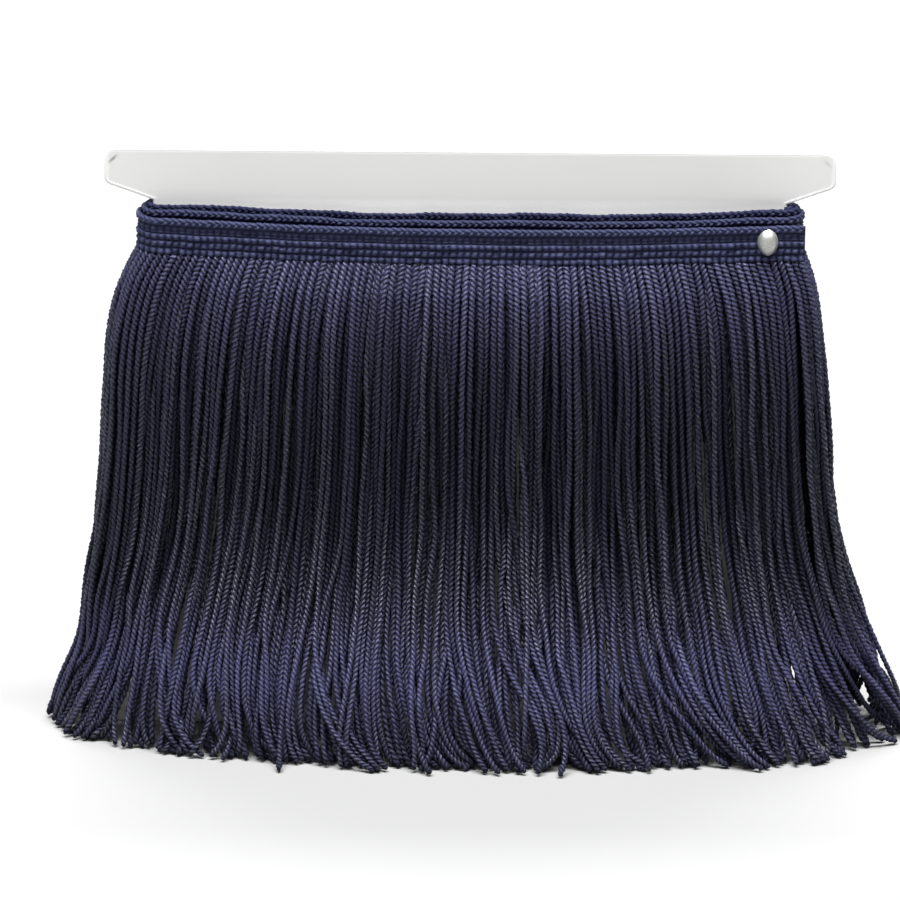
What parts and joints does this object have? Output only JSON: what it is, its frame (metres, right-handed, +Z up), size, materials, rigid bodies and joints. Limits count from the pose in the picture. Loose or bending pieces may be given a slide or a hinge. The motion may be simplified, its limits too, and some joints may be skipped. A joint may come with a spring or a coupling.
{
  "type": "spaghetti fringe trim on a winding card",
  "caption": "Long twisted-cord fringe on a narrow header tape, wound round a flat notched card that stands on its lower edge, with the cords splayed on the floor.",
  "frame": {"origin": "on the floor under the middle of the card, at the bottom centre of the bounding box", "axes": "+X along the card towards the tape's free end, +Y from the front of the trim to its back, +Z up"},
  "size_m": [0.2859, 0.0831, 0.204],
  "materials": {
    "card_white": "satin white board with softly rounded edges",
    "header_navy": "knitted navy yarn tape with a chain edge",
    "strand_navy": "satin navy twisted cord",
    "stud_metal": "satin grey metal"
  },
  "bodies": {
    "root": {"card": "card_white", "header": "header_navy", "fringe_front": "strand_navy", "fringe_left": "strand_navy", "fringe_back": "strand_navy", "fringe_right": "strand_navy", "fringe_inner_front": "strand_navy", "fringe_inner_back": "strand_navy", "stud": "stud_metal"}
  },
  "joints": []
}
